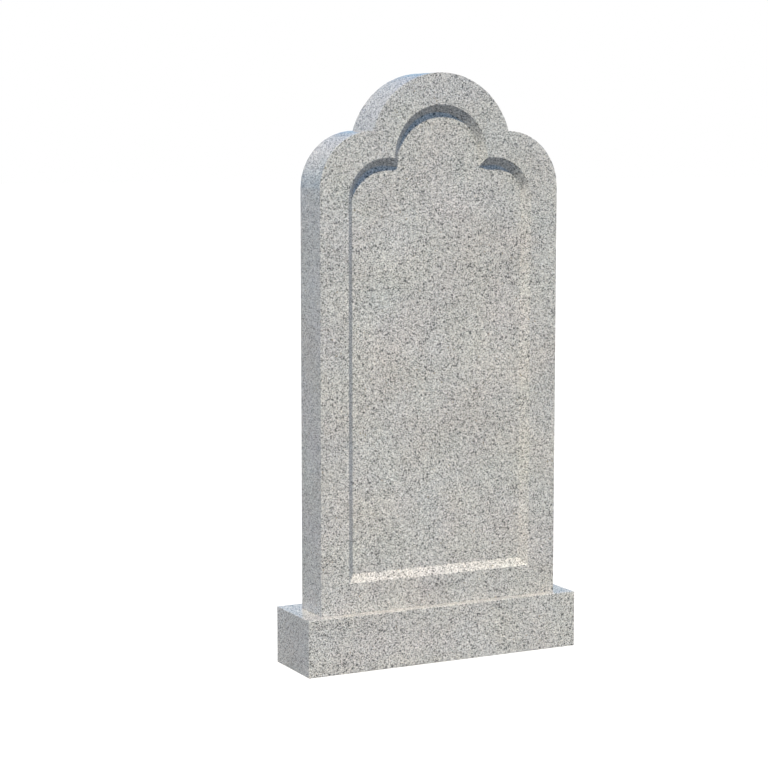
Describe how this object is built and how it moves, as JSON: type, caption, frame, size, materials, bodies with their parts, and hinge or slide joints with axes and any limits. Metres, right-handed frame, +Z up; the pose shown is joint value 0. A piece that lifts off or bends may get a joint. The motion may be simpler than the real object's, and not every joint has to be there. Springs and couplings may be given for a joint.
{
  "type": "upright headstone",
  "caption": "Upright granite headstone with a round head between round shoulders and a sunk, bevelled, bare panel on its front, standing by its own weight on a plain plinth.",
  "frame": {"origin": "middle of the plinth's underside, on the ground", "axes": "+Z up; the face with the sunk panel looks along -Y; +X runs to the right of someone who faces the stone"},
  "size_m": [0.8, 0.2, 1.5503],
  "materials": {
    "granite": "polished"
  },
  "bodies": {
    "root": {"headstone_slab": "granite", "plinth": "granite"}
  },
  "joints": []
}
